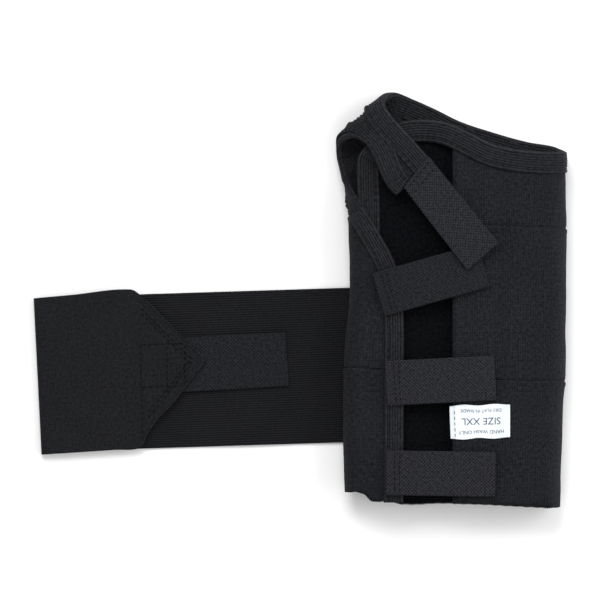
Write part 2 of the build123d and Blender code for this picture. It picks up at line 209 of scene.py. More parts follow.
def sheet_mesh(name, points, lengths, thick, facing):
    """A cloth sheet from rows of points, with a UV map in metres, thickened towards its back.
    lengths gives (u, v) in millimetres for each point, and facing is where its middle faces."""
    rows = len(points)
    columns = len(points[0])
    mesh = bpy.data.meshes.new(name)
    verts = [(p[0] * MM, p[1] * MM, p[2] * MM) for row in points for p in row]
    r, c = rows // 2, columns // 2
    here = Vector(points[r][c])
    turn = (Vector(points[r][c + 1]) - here).cross(Vector(points[r + 1][c]) - here)
    forward = turn.dot(Vector(facing)) > 0
    faces = []
    for r in range(rows - 1):
        for c in range(columns - 1):
            a = r * columns + c
            face = (a, a + 1, a + columns + 1, a + columns)
            faces.append(face if forward else face[::-1])
    mesh.from_pydata(verts, [], faces)
    layer = mesh.uv_layers.new(name="cloth")
    flat = [uv for row in lengths for uv in row]
    for loop in mesh.loops:
        u, v = flat[loop.vertex_index]
        layer.data[loop.index].uv = (u * MM, v * MM)
    piece = link(name, mesh)
    only(piece)
    bpy.ops.object.shade_smooth()
    shell = piece.modifiers.new("thickness", "SOLIDIFY")
    shell.thickness = thick * MM
    shell.offset = -1
    bpy.ops.object.modifier_apply(modifier=shell.name)
    return piece


def spans(points):
    """Running length along a row of points."""
    total = [0.0]
    for a, b in zip(points, points[1:]):
        total.append(total[-1] + (Vector(b) - Vector(a)).length)
    return total


def steps(length, fine, coarse, edge):
    """Places from 0 to 1 along a length, close together near both ends."""
    if length < 3 * edge:
        count = max(int(length / fine), 4)
        return list(np.linspace(0, 1, count + 1))
    ends = np.arange(0, edge, fine)
    middle = np.linspace(edge, length - edge, max(int((length - 2 * edge) / coarse), 2) + 1)
    return [float(p) / length for p in (*ends, *middle, *(length - ends[::-1]))]


def finish_sheet(piece, material, body=None, nodes=()):
    """Material, body and stand-in of one finished sheet."""
    piece.data.materials.clear()
    piece.data.materials.append(material)
    if body:
        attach(piece, body)
    if nodes:
        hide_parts(*nodes)


# ---- materials

class Finish:
    """A procedural fabric finish that reads the cloth's own UV map, in metres."""

    def __init__(self, name, colour, rough, sheen):
        self.material = bpy.data.materials.new(name)
        self.material.use_nodes = True
        self.tree = self.material.node_tree
        self.join = self.tree.links.new
        self.shader = self.tree.nodes["Principled BSDF"]
        self.shader.inputs["Roughness"].default_value = rough
        self.shader.inputs["Sheen Weight"].default_value = sheen
        self.shader.inputs["Sheen Roughness"].default_value = 0.45
        self.shader.inputs["Specular IOR Level"].default_value = 0.06
        self.colour = colour
        uv = self.tree.nodes.new("ShaderNodeUVMap")
        uv.uv_map = "cloth"
        split = self.tree.nodes.new("ShaderNodeSeparateXYZ")
        self.join(uv.outputs["UV"], split.inputs["Vector"])
        self.uv = uv.outputs["UV"]
        self.u = split.outputs["X"]
        self.v = split.outputs["Y"]

    def math(self, operation, a, b=0.0, c=0.0):
        node = self.tree.nodes.new("ShaderNodeMath")
        node.operation = operation
        for socket, value in zip(node.inputs, (a, b, c)):
            if isinstance(value, (int, float)):
                socket.default_value = value
            else:
                self.join(value, socket)
        return node.outputs[0]

    def ripple(self, place, pitch, shift=0.0):
        """Wave from 0 to 1 with a pitch in millimetres."""
        turn = self.math("MULTIPLY_ADD", place, 2 * math.pi / (pitch * MM), shift)
        return self.math("MULTIPLY_ADD", self.math("SINE", turn), 0.5, 0.5)

    def grain(self, size, detail=3.0, rough=0.6):
        """Fractal noise from 0 to 1 with grains of a size in millimetres."""
        node = self.tree.nodes.new("ShaderNodeTexNoise")
        node.inputs["Scale"].default_value = 1 / (size * MM)
        node.inputs["Detail"].default_value = detail
        node.inputs["Roughness"].default_value = rough
        self.join(self.uv, node.inputs["Vector"])
        return node.outputs["Fac"]

    def grit(self, size):
        """Strong speckle from 0 to 1 with grains of a size in millimetres."""
        return self.math("MULTIPLY_ADD", self.grain(size, 2.0, 0.5), 2.6, -0.8)

    def add(self, a, b):
        return self.math("ADD", a, b)

    def times(self, a, b):
        return self.math("MULTIPLY", a, b)

    def paint(self, shade, dark, light):
        """Colour from a 0 to 1 shade, as shares of the main colour."""
        ramp = self.tree.nodes.new("ShaderNodeValToRGB")
        ramp.color_ramp.elements[0].color = (*(c * dark for c in self.colour), 1)
        ramp.color_ramp.elements[1].color = (*(c * light for c in self.colour), 1)
        self.join(shade, ramp.inputs["Fac"])
        self.join(ramp.outputs["Color"], self.shader.inputs["Base Color"])

    def emboss(self, height, depth):
        bump = self.tree.nodes.new("ShaderNodeBump")
        bump.inputs["Distance"].default_value = depth * MM
        bump.inputs["Strength"].default_value = 1.0
        self.join(height, bump.inputs["Height"])
        self.join(bump.outputs["Normal"], self.shader.inputs["Normal"])


def waffle_elastic():
    """Body elastic: small waffle cells in rows across the splint."""
    f = Finish("body_elastic_cloth", (0.0108, 0.0114, 0.0134), 0.88, 0.025)
    cells = f.times(f.ripple(f.u, 1.25), f.ripple(f.v, 0.95))
    threads = f.ripple(f.v, 0.475, 1.2)
    height = f.add(f.times(cells, 0.7), f.times(threads, 0.3))
    height = f.add(f.times(height, 0.85), f.times(f.grain(0.5), 0.3))
    mottle = f.add(f.times(f.grit(1.5), 0.45), f.times(f.grain(22, 2), 0.2))
    # The waffle's height also sets its colour: painted shade in the cells' recesses and painted highlight on
    # their tops, over random mottle.
    f.paint(f.add(f.times(height, 0.5), mottle), 0.0, 2.1)
    f.emboss(height, 0.35)
    return f.material


def rib_knit():
    """Edge binding: fine threads between raised ribs."""
    f = Finish("ribbed_binding_cloth", (0.0105, 0.0109, 0.0127), 0.8, 0.03)
    rib = f.ripple(f.u, RIB_PITCH, 0.9)
    purl = f.times(f.ripple(f.v, 0.9), rib)
    height = f.add(f.times(rib, 0.6), f.times(purl, 0.3))
    height = f.add(height, f.times(f.grain(0.8), 0.2))
    mottle = f.add(f.times(f.grit(1.5), 0.45), f.times(f.grain(6, 3), 0.15))
    # The rib height also sets the colour: painted highlight on the rib tops and painted shade between the
    # ribs, over random mottle.
    f.paint(f.add(f.times(height, 0.6), mottle), 0.0, 2.1)
    f.emboss(height, 0.3)
    return f.material


def rib_strap():
    """Wide strap elastic: sharp ribs along the strap."""
    f = Finish("ribbed_strap_cloth", (0.0098, 0.0101, 0.0115), 0.86, 0.03)
    rib = f.ripple(f.u, STRAP_RIB_PITCH)
    cross = f.ripple(f.v, 0.55)
    height = f.add(f.times(rib, 0.75), f.times(f.times(cross, rib), 0.2))
    height = f.add(height, f.times(f.grain(0.6), 0.15))
    mottle = f.add(f.times(f.grit(1.2), 0.3), f.times(f.grain(18, 2), 0.25))
    # The rib height also sets the colour: painted highlight on the rib tops and painted shade between the
    # ribs, over random mottle.
    f.paint(f.add(f.times(height, 0.55), mottle), 0.25, 1.7)
    f.emboss(height, 0.4)
    return f.material


def plain_strap():
    """The strap's other face: a close plain weave."""
    f = Finish("plain_strap_cloth", (0.0098, 0.0102, 0.0118), 0.88, 0.025)
    weave = f.add(f.times(f.ripple(f.u, 0.8), 0.5), f.times(f.ripple(f.v, 0.7), 0.5))
    height = f.add(f.times(weave, 0.8), f.times(f.grain(0.6), 0.3))
    mottle = f.add(f.times(f.grit(1.3), 0.45), f.times(f.grain(14, 3), 0.2))
    # The weave's height also sets its colour: painted shade in its hollows and painted highlight on its
    # raised threads, over random mottle.
    f.paint(f.add(f.times(height, 0.5), mottle), 0.1, 1.8)
    f.emboss(height, 0.25)
    return f.material


def hook_back(name, share):
    """Woven back of the hook tape: a dotted twill, in a share of its full colour."""
    f = Finish(name, (0.0165 * share, 0.0171 * share, 0.0203 * share), 0.7, 0.03)
    rise = f.add(f.u, f.v)
    fall = f.math("SUBTRACT", f.u, f.v)
    dots = f.times(f.ripple(rise, 1.7), f.ripple(fall, 1.7, 0.8))
    twill = f.ripple(f.add(f.u, f.times(f.v, 2.0)), 1.1)
    height = f.add(f.times(dots, 0.8), f.times(twill, 0.2))
    height = f.add(height, f.times(f.grain(0.7), 0.25))
    # The twill's height also sets its colour: painted shade in its hollows and painted highlight on its
    # raised dots, with random speckle.
    f.paint(f.add(f.times(height, 0.65), f.times(f.grit(1.3), 0.4)), 0.0, 2.1)
    f.emboss(height, 0.3)
    return f.material


def plush():
    """Brushed loop face of the tongue and lining."""
    f = Finish("plush_lining_cloth", (0.0016, 0.0018, 0.0024), 0.95, 0.015)
    height = f.add(f.times(f.grain(0.9, 4, 0.8), 0.6), f.times(f.grain(5, 3), 0.4))
    # The pile's height also sets its colour: painted shade in its low spots, with random speckle.
    f.paint(f.add(f.times(height, 0.4), f.times(f.grit(1.5), 0.6)), 0.0, 3.2)
    f.emboss(height, 0.8)
    return f.material


def label_satin():
    """White satin ribbon of the label."""
    f = Finish("label_satin_cloth", (0.76, 0.81, 0.84), 0.55, 0.03)
    height = f.add(f.times(f.ripple(f.v, 0.45), 0.6), f.times(f.grain(0.8), 0.3))
    # The ribs' height also sets the colour: faint painted shade between the satin's ribs.
    f.paint(height, 0.9, 1.03)
    f.emboss(height, 0.05)
    return f.material


def label_ink():
    """Dark print on the label."""
    f = Finish("label_ink_print", (0.07, 0.085, 0.14), 0.6, 0.0)
    f.paint(f.grain(0.5), 0.7, 1.3)
    return f.material


def thread():
    """Twisted black sewing thread, its own black made darker still as painted shade of the dents the stitches
    sit in.
    """
    f = Finish("sewing_thread", (0.0042, 0.0042, 0.0050), 0.7, 0.02)
    height = f.ripple(f.add(f.u, f.v), 0.35)
    # The twist's height also sets the colour: painted shade in its grooves.
    f.paint(height, 0.7, 1.3)
    f.emboss(height, 0.05)
    return f.material


def brushed_stay():
    """Bare rolled aluminium of the stay, brushed along its length."""
    material = bpy.data.materials.new("stay_aluminium")
    material.use_nodes = True
    tree = material.node_tree
    join = tree.links.new
    shader = tree.nodes["Principled BSDF"]
    shader.inputs["Metallic"].default_value = 1.0
    place = tree.nodes.new("ShaderNodeTexCoord")
    stretch = tree.nodes.new("ShaderNodeMapping")
    stretch.inputs["Scale"].default_value = (2500, 40, 2500)
    grain = tree.nodes.new("ShaderNodeTexNoise")
    ramp = tree.nodes.new("ShaderNodeValToRGB")
    ramp.color_ramp.elements[0].color = (0.22, 0.225, 0.235, 1)
    ramp.color_ramp.elements[1].color = (0.40, 0.41, 0.425, 1)
    rough = tree.nodes.new("ShaderNodeMapRange")
    rough.inputs["To Min"].default_value = 0.34
    rough.inputs["To Max"].default_value = 0.55
    join(place.outputs["Object"], stretch.inputs["Vector"])
    join(stretch.outputs["Vector"], grain.inputs["Vector"])
    join(grain.outputs["Fac"], ramp.inputs["Fac"])
    join(ramp.outputs["Color"], shader.inputs["Base Color"])
    join(grain.outputs["Fac"], rough.inputs["Value"])
    join(rough.outputs["Result"], shader.inputs["Roughness"])
    return material


BODY = waffle_elastic()
BINDING = rib_knit()
STRAP = rib_strap()
STRAP_BACK = plain_strap()
HOOK = hook_back("hook_tape_cloth", 1.0)
# A darker copy of the hook tape, used on the upper tab and on the wrap tab.
DARKER_HOOK = hook_back("darker_hook_tape_cloth", 0.74)
PLUSH = plush()
SATIN = label_satin()
INK = label_ink()
THREAD = thread()
METAL = brushed_stay()


# ---- sleeve

def seam_ridge(away, x):
    """Height of the sewn seam beside its line, with small puckers at the stitches."""
    ridge = 0.35 * bell(away + 1.6, 1.2)
    dip = -0.4 * bell(away, 0.6)
    pucker = 0.12 * wave(x, 2.9) * bell(away, 2.5)
    return ridge + dip + pucker


def relief(x, y, front):
    """How far the fabric stands proud of its plain shape."""
    rise = drift(x, y, 26, 0.5, 3.0 if front else 9.0) + drift(x, y, 9, 0.16, 5.0)
    for seam in (UPPER_SEAM, LOWER_SEAM):
        away = y - follow(seam, x)
        if abs(away) < 7:
            rise += seam_ridge(away, x)
    if front and x > PANEL_EDGE:
        rise -= 0.7 * bell(x - 20 - 0.03 * y, 5)
        rise += 0.35 * bell(x - PANEL_EDGE - 1.6, 1.1)
    return rise


def section(part, t, y):
    """Point and outward direction of the sleeve's section at Y, part by part round the ring."""
    right = follow(RIGHT_SIDE, y) - FOLD_REACH
    left = follow(LEFT_SIDE, y) + FOLD_REACH
    if part == "panel":
        return PANEL_EDGE + (right - PANEL_EDGE) * t, FRONT_TOP, 0.0, 1.0
    if part == "palm":
        return right + (left - right) * t, PALM_LOW, 0.0, -1.0
    if part == "flap":
        edge = max(follow(FLAP_EDGE, y) - 1.0, left + 0.2)
        return left + (edge - left) * t, FRONT_TOP, 0.0, 1.0
    middle, start = (right, 0.5) if part == "right_fold" else (left, -0.5)
    turn = math.pi * (start - t)
    out, up = math.cos(turn), math.sin(turn)
    return middle + FOLD_REACH * out, MID + FOLD_RISE * up, out, up


def hand_top(part, t, x):
    """Finger edge of the hand band. The palm fabric also ends inside the thumb strap's fold."""
    if part == "panel" or (part == "right_fold" and t < 0.5):
        return follow(FRONT_EDGE, x) - 1.2
    if part == "left_fold":
        return follow(THUMB_SIDE_EDGE, t) - 0.8
    palm = follow(PALM_EDGE, x) - 1.2
    fold_line = THUMB_FOLD.y + ((x - THUMB_FOLD.x) * ALONG.x - PALM_INSET) / -ALONG.y
    return min(palm, fold_line)


def ring_sheet(name, parts, bottom, top):
    """One band of the sleeve as a sheet that goes round the ring."""
    columns = []
    for part, count in parts:
        columns += [(part, k / count) for k in range(count if part != parts[-1][0] else count + 1)]
    shares = steps(75, 0.5, 1.6, 6)
    points = []
    lengths = []
    for share in shares:
        row = []
        for part, t in columns:
            y = 0.0
            for _ in range(3):
                x, z, nx, nz = section(part, t, y)
                start = bottom(part, t, x)
                y = start + (top(part, t, x) - start) * share
            x, z, nx, nz = section(part, t, y)
            lift = relief(x, y, z > MID)
            height = max(z + nz * lift, PALM_LOW if nz < -0.5 else 0.2)
            row.append((x + nx * lift, y, height))
        points.append(row)
    middle = points[len(points) // 2]
    across = spans(middle)
    for row in points:
        lengths.append([(across[c], row[c][1]) for c in range(len(row))])
    facing = (0, 0, -1) if parts[0][0] == "panel" else (-1, 0, 0.2)
    return sheet_mesh(name, points, lengths, FABRIC, facing), points


def forearm_edge(part, t, x):
    """The cut edge at the forearm end, with the small scallops of its overlocking."""
    return follow(FOREARM_END, x) + 0.12 * wave(x, 5.1)


def upper(part, t, x):
    """The seam between the hand band and the wrist band."""
    return follow(UPPER_SEAM, x)


def lower(part, t, x):
    """The seam between the wrist band and the forearm band."""
    return follow(LOWER_SEAM, x)


# Parts of the ring that a band or flap goes over, each with its number of columns
AROUND = [("panel", 36), ("right_fold", 14), ("palm", 50)]
WALL = [("left_fold", 14)]
FLAP = [("left_fold", 14), ("flap", 16)]
FLAP_BEND = ((-0.0525, 0, FRONT_TOP * MM), (-0.0425, 0, FRONT_TOP * MM))


def make_sleeve():
    bands = [
        ("hand_band_cloth", AROUND, upper, hand_top, "hand_band"),
        ("wrist_band_cloth", AROUND, lower, upper, "wrist_band"),
        ("forearm_band_cloth", AROUND, forearm_edge, lower, "forearm_band"),
    ]
    for name, parts, bottom, top, node in bands:
        piece, points = ring_sheet(name, parts, bottom, top)
        finish_sheet(piece, BODY, "palm_side", [node])
    flaps = [
        ("hand_wall_cloth", WALL, upper, hand_top, []),
        ("wrist_flap_cloth", FLAP, lower, upper, ["flap_wrist_panel"]),
        ("forearm_flap_cloth", FLAP, forearm_edge, lower, ["flap_forearm_panel"]),
    ]
    for name, parts, bottom, top, nodes in flaps:
        piece, points = ring_sheet(name, parts, bottom, top)
        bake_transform(piece)
        finish_sheet(piece, BODY, None, nodes)


make_sleeve()


# ---- tongue, lining and pocket

PAD_ROWS = 60
PAD_COLUMNS = 28


def flat_pad(name, left, right, bottom, top, level, thick, rise):
    """A soft panel between two side edges, which swells between its seams by a rise."""
    shares = [k / PAD_ROWS for k in range(PAD_ROWS + 1)]
    points = []
    lengths = []
    for share in shares:
        row = []
        for k in range(PAD_COLUMNS + 1):
            t = k / PAD_COLUMNS
            x = left(0) + (right(0) - left(0)) * t
            y = bottom(x) + (top(x) - bottom(x)) * share
            x = left(y) + (right(y) - left(y)) * t
            y = bottom(x) + (top(x) - bottom(x)) * share
            crown = rise * (1 - (2 * t - 1) ** 4) * (1 - (2 * share - 1) ** 8)
            row.append((x, y, level(x, y) + crown + drift(x, y, 17, 0.35, 2.0)))
        points.append(row)
        lengths.append([(p[0], p[1]) for p in row])
    return sheet_mesh(name, points, lengths, thick, UP), points


def tongue_level(x, y):
    """The tongue lies a little lower under the flap than at the finger edge."""
    return TONGUE_LEVEL - 0.3 + 0.5 * clamp((y - 45) / 25)


def make_inside():
    piece, _ = flat_pad(
        "tongue_pad", lambda y: -46.0, lambda y: PANEL_EDGE + 6.5, lambda x: follow(FOREARM_END, x) + 0.7,
        lambda x: follow(FRONT_EDGE, max(x, -46)) - 1.5, tongue_level, TONGUE_THICK, 0.5)
    piece.data.materials.append(PLUSH)
    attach(piece, "palm_side")
    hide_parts("dorsal_tongue")

    lining_top = high("palmar_lining")
    piece, points = flat_pad(
        "palm_lining_cloth", lambda y: -44.0, lambda y: 44.0, lambda x: -93.5,
        lambda x: min(follow(PALM_EDGE, max(x, -10)) - 11, 77), lambda x, y: lining_top - 0.5,
        LINING_THICK, 0.2)
    finish_sheet(piece, PLUSH, "palm_side", ["palmar_lining"])

    stay_low, stay_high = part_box("palmar_stay")
    side = stay_high.x / MM + 0.6

    def over_stay(x, y):
        """The pocket's cover, up over the stay and down to its stitched sides."""
        down = clamp((abs(x) - side) / 2.2)
        closed = clamp((y - stay_high.y / MM - 0.8) / 2.2)
        drop = max(down, closed)
        drop = drop * drop * (3 - 2 * drop)
        return high("stay_pocket") - 0.1 - drop * (high("stay_pocket") - lining_top - 0.6)

    piece, points = flat_pad(
        "stay_pocket_cloth", lambda y: -side - 5, lambda y: side + 5, lambda x: stay_low.y / MM - 1.5,
        lambda x: stay_high.y / MM + 5, over_stay, POCKET_THICK, 0.0)
    finish_sheet(piece, PLUSH, "palm_side", ["stay_pocket"])
    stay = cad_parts["palmar_stay"]
    for held in stay.material_slots:
        held.material = METAL


make_inside()


# ---- stitches

def bead():
    """Vertices and faces of one stitch: a rounded bead a unit long and wide, with few faces."""
    bpy.ops.object.select_all(action="DESELECT")
    bpy.ops.mesh.primitive_uv_sphere_add(segments=6, ring_count=4, radius=0.5)
    piece = bpy.context.object
    verts = [v.co.copy() for v in piece.data.vertices]
    faces = [tuple(p.vertices) for p in piece.data.polygons]
    bpy.data.objects.remove(piece)
    return verts, faces


BEAD_VERTS, BEAD_FACES = bead()


def threads(name, pairs, wide, body=None, bend=None, material=THREAD, slot_name="overlock_thread"):
    """Short lengths of thread joined in one piece, each from one point to another beside a direction up."""
    verts = []
    faces = []
    for a, b, up in pairs:
        a, b = Vector(a), Vector(b)
        forward = (b - a).normalized()
        side = Vector(up).cross(forward).normalized()
        above = forward.cross(side)
        start = len(verts)
        size = (b - a).length
        verts += [((a + b) / 2 + forward * v.z * size + side * v.x * wide + above * v.y * wide) * MM
                  for v in BEAD_VERTS]
        faces += [tuple(start + k for k in face) for face in BEAD_FACES]
    mesh = bpy.data.meshes.new(name)
    mesh.from_pydata(verts, [], faces)
    layer = mesh.uv_layers.new(name="cloth")
    for loop in mesh.loops:
        co = mesh.vertices[loop.vertex_index].co
        layer.data[loop.index].uv = (co.x, co.y)
    piece = link(name, mesh)
    only(piece)
    bpy.ops.object.shade_smooth()
    piece.data.materials.append(material)
    if bend:
        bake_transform(piece)
    else:
        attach(piece, body)


def stitches(run, up=UP, length=2.3, gap=0.8):
    """Stitches along a row of points, as (start, end, up)."""
    marks = spans(run)
    found = []
    for place in np.arange(gap, marks[-1] - length, length + gap):
        ends = []
        for at in (place, place + length):
            k = min(max(int(np.searchsorted(marks, at)) - 1, 0), len(run) - 2)
            t = (at - marks[k]) / max(marks[k + 1] - marks[k], 1e-6)
            ends.append(Vector(run[k]).lerp(Vector(run[k + 1]), t))
        found.append((*ends, up[k] if isinstance(up, list) else up))
    return found


# ---- bindings

# Half the folded binding's thickness, how far its seam is from its edge, and its widths
BINDING_HALF = 1.15
SEAM_INSET = 1.9
FINGER_BINDING_WIDE = 10.0
THUMB_BINDING_WIDE = 9.8
FLAP_BINDING_WIDE = 8.8


def stations(marks, side, step):
    """Even places along a route of (point, outward) marks, each as its point, inward and outward."""
    run = spans([m[0] for m in marks])
    lists = [[(run[k], m[j][i]) for k, m in enumerate(marks)] for j in range(2) for i in range(3)]
    found = []
    for at in np.linspace(0, run[-1], max(int(run[-1] / step), 4)):
        value = [follow(points, float(at)) for points in lists]
        found.append((Vector(value[:3]), Vector(value[3:])))
    places = []
    for k, (point, outward) in enumerate(found):
        tangent = (found[min(k + 1, len(found) - 1)][0] - found[max(k - 1, 0)][0]).normalized()
        outward = (outward - tangent * outward.dot(tangent)).normalized()
        places.append((point, outward.cross(tangent) * side, outward))
    return places


def binding(name, marks, side, wide, nodes, body=None, bend=None, seed=0.0):
    """Ribbed binding folded over an edge and sewn down near its inner sides."""
    places = stations(marks, side, 1.3)
    profile = [(-d, 1) for d in np.arange(wide, BINDING_HALF, -RIB_PITCH / 4)]
    profile += [(a, 0) for a in np.linspace(math.pi / 2, -math.pi / 2, 9)]
    profile += [(d, -1) for d in np.arange(BINDING_HALF, wide, RIB_PITCH / 4)]
    run = spans([p[0] for p in places])
    points = []
    lengths = []
    seam = []
    for s, (point, inward, outward) in zip(run, places):
        row = []
        size = []
        gather = 0.2 + max(drift(s, seed * 3, 14, 0.8), 0)
        pucker = gather * wave(s, 3.7, seed) + drift(s, seed * 7, 8, 0.4)
        dent = 0.75 + 0.25 * wave(s, 3.1)
        bulge = 3.2 * max(-outward.z, 0) * max(-outward.x, 0)
        for value, layer in profile:
            if layer:
                inside = abs(value)
                q = value + 0.57 * BINDING_HALF * (1 if value > 0 else -1)
                from_edge = wide - inside
                sunk = 0.6 * dent * bell(from_edge - SEAM_INSET, 0.8)
                tuck = 0.5 * clamp(1.0 - from_edge)
                ease = pucker * clamp((inside - 1.5) / 3)
                ease += drift(s, inside + 20, 4, 0.22, seed) - sunk - tuck
                turn = math.pi / 2 * layer
            else:
                inside = BINDING_HALF
                q = -value * BINDING_HALF
                ease = 0.0
                turn = value
            rib = RIB_RISE * (0.5 + 0.5 * math.cos(2 * math.pi * q / RIB_PITCH))
            reach = BINDING_HALF + rib + ease
            out = reach * math.sin(turn) + bulge * math.sin(math.pi * min(inside / wide, 1))
            spot = point + inward * (inside - reach * math.cos(turn)) + outward * out
            spot.z = max(spot.z, FLOOR_CLEAR)
            row.append(spot)
            size.append((q, s))
        points.append(row)
        lengths.append(size)
        seam.append((point + inward * (wide - SEAM_INSET) + outward * (BINDING_HALF + 0.05), outward))
    middle = places[len(places) // 2]
    piece = sheet_mesh(name, points, lengths, BINDING_THICK, middle[2])
    if bend:
        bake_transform(piece)
    finish_sheet(piece, BINDING, body, nodes)
    rows = stitches([p for p, up in seam], [up for p, up in seam])
    threads(name + "_stitches", rows, BINDING_THREAD, body, bend)


THUMB_BEND = ("palm_side", "thumb_strap",
              thumb(8.0, 0, THUMB_TOP - 2.2) * MM, thumb(12.9, 0, THUMB_TOP + 2.2) * MM)
FLAP_HINGE = ("palm_side", "thumb_side_flap", *FLAP_BEND)


def make_bindings():
    palm_z = PALM_LOW + 1.2
    front_z = FRONT_TOP - 0.6
    down = (0, 0, -1)
    away = (1, 0, 0)
    route = [(thumb(8.8, 22.0, palm_z), down), (thumb(12.5, 23.9, palm_z), down)]
    route += [((x, y, palm_z), down) for x, y in PALM_EDGE[2:-1]]
    edge_x = follow(RIGHT_SIDE, 75)
    route += [((edge_x - 2.6, 75.9, palm_z + 1.2), (0.4, 0, -1)),
              ((edge_x - 0.7, 75.2, MID - 3.5), away),
              ((edge_x - 0.7, 74.7, MID + 3.5), away),
              ((edge_x - 2.6, 74.4, front_z - 1.2), (0.4, 0, 1))]
    route += [((x, y, front_z - 3.0 * clamp((-2.5 - x) / 11)), UP) for x, y in FRONT_EDGE[1:-1][::-1]]
    tongue_z = TONGUE_LEVEL - 0.3
    route += [((-47.4, 72.5, tongue_z), UP), ((-47.9, 66, tongue_z), UP)]
    route += [((-47.7, y, tongue_z), UP) for y in (50, 25, 0, -25, -50, -75, -92.8)]
    binding("finger_binding", route, 1, FINGER_BINDING_WIDE, ["finger_edge_binding", "tongue_edge_binding"],
            "palm_side")

    top = THUMB_TOP - 1.2
    back = -ALONG
    route = [(thumb(39.5, 9.7, top), UP), (thumb(29, 9.5, top), UP), (thumb(18, 9.0, top), UP),
             (thumb(9.5, 8.7, top - 0.2), UP), (thumb(3.2, 9.7, top - 2.2), UP + back * 0.6),
             (thumb(0.3, 12.3, 15.5), back + UP * 0.3), (thumb(0.3, 15.2, 9.0), back - UP * 0.3),
             (thumb(2.6, 18.6, 4.2), -UP + back * 0.6), (thumb(10.6, 22.9, palm_z), -UP)]
    binding("thumb_strap_finger_binding", route, 1, THUMB_BINDING_WIDE, ["thumb_finger_side_binding"],
            None, THUMB_BEND, seed=3.0)

    wall = (-0.6, 0, -0.8)
    route = [(thumb(40.6, -13.2, top), UP), (thumb(37, -13.8, top), UP), (thumb(30, -12.9, top), UP),
             (thumb(24, -10.9, top), UP), (thumb(18.5, -9.3, top), UP), ((-44.0, 79.2, top - 0.6), UP),
             ((-48.5, 82.0, top - 2.0), UP + back * 0.5),
             ((-53.1, 82.3, 17), back + UP * 0.6), ((-56.5, 80.2, 11), (-0.9, 0.3, -0.2)),
             ((-57.9, 76.3, 7.2), wall), ((-57.5, 71.5, 6.5), wall)]
    binding("thumb_strap_palm_binding", route, -1, THUMB_BINDING_WIDE, ["thumb_palm_side_binding"],
            None, THUMB_BEND, seed=6.0)

    route = [((-57.5, 71.9, 6.5), wall), ((-56.1, 66, 7.5), wall), ((-54.0, 60.5, 9.5), (-0.95, 0, -0.3)),
             ((-51.6, 56, 13), (-0.97, 0, 0.25)), ((-48.6, 50.9, 16.8), (-0.85, 0, 0.5)),
             ((-44.8, 45.5, front_z), (-0.3, 0, 0.95)), ((-42.2, 41, front_z), UP)]
    route += [((x - 1.3, y, front_z), UP) for y, x in FLAP_EDGE[1:-2][::-1]] + [((-26.7, -97.7, front_z), UP)]
    binding("thumb_edge_strip", route, -1, FLAP_BINDING_WIDE, ["thumb_edge_binding", "thumb_crotch_binding"],
            None, FLAP_HINGE, seed=9.0)


make_bindings()


# ---- thumb strap's web

# Edges of the web across the strap, by share of its length
WEB_FINGER_SIDE = [(0, 8.2), (0.3, 7.8), (0.48, 8.6), (0.62, 12), (0.72, 16), (0.85, 20), (1, 21)]
WEB_PALM_SIDE = [(0, -12), (0.12, -11), (0.3, -8), (0.48, -9), (0.58, -14), (0.66, -18), (0.78, -22),
                 (1, -23)]
WEB_WIDE = 17
WEB_COLUMNS = 100


def thumb_web():
    """The sheet between the strap's two bindings: from the strap, round the fold, to the palm."""
    top = THUMB_TOP - 0.6
    radius = (top - PALM_LOW - 1.0) / 2
    middle = PALM_LOW + 1.0 + radius
    points = []
    lengths = []
    path = [(u, top, 1.0) for u in np.linspace(40.6, 9, 32)]
    path += [(9 - 9.9 * math.sin(a), middle + radius * math.cos(a), math.cos(a))
             for a in np.linspace(0.1, math.pi, 26)]
    path += [(u, PALM_LOW + 1.0, -1.0) for u in np.linspace(10, 24, 10)]
    run = spans([(u, z, 0) for u, z, c in path])
    for s, (u, z, c) in zip(run, path):
        share = s / run[-1]
        finger_side = follow(WEB_FINGER_SIDE, share)
        palm_side = follow(WEB_PALM_SIDE, share)
        row = []
        sizes = []
        for k in range(WEB_COLUMNS + 1):
            v = palm_side + (finger_side - palm_side) * k / WEB_COLUMNS
            rib = RIB_RISE * math.cos(2 * math.pi * (k / WEB_COLUMNS - 0.5) * WEB_WIDE / RIB_PITCH)
            point = thumb(u, v, z + drift(u, v, 6, 0.25, 4.0))
            if c > -0.95:
                point += (UP * c - ALONG * math.sqrt(max(1 - c * c, 0))) * rib
            row.append(point)
            sizes.append((v, s))
        points.append(row)
        lengths.append(sizes)
    piece = sheet_mesh("thumb_strap_web", points, lengths, WEB_THICK, -ALONG)
    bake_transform(piece)
    finish_sheet(piece, BINDING, None,
                 ["thumb_strap_core", "thumb_strap_root"])
    rows = stitches([thumb(u, 0.2, top + 1.0) for u in (36, 30, 24, 18, 14)])
    threads("thumb_web_stitches", rows, BINDING_THREAD, "thumb_strap")


thumb_web()


# ---- hook tabs

TAB_COLUMNS = 30
TAB_CORNER = 0.9
TAB_LONG = 53.7
TAB_HALF = 11
TAB_SEWN = 11.65
HINGE_REACH = 2.5


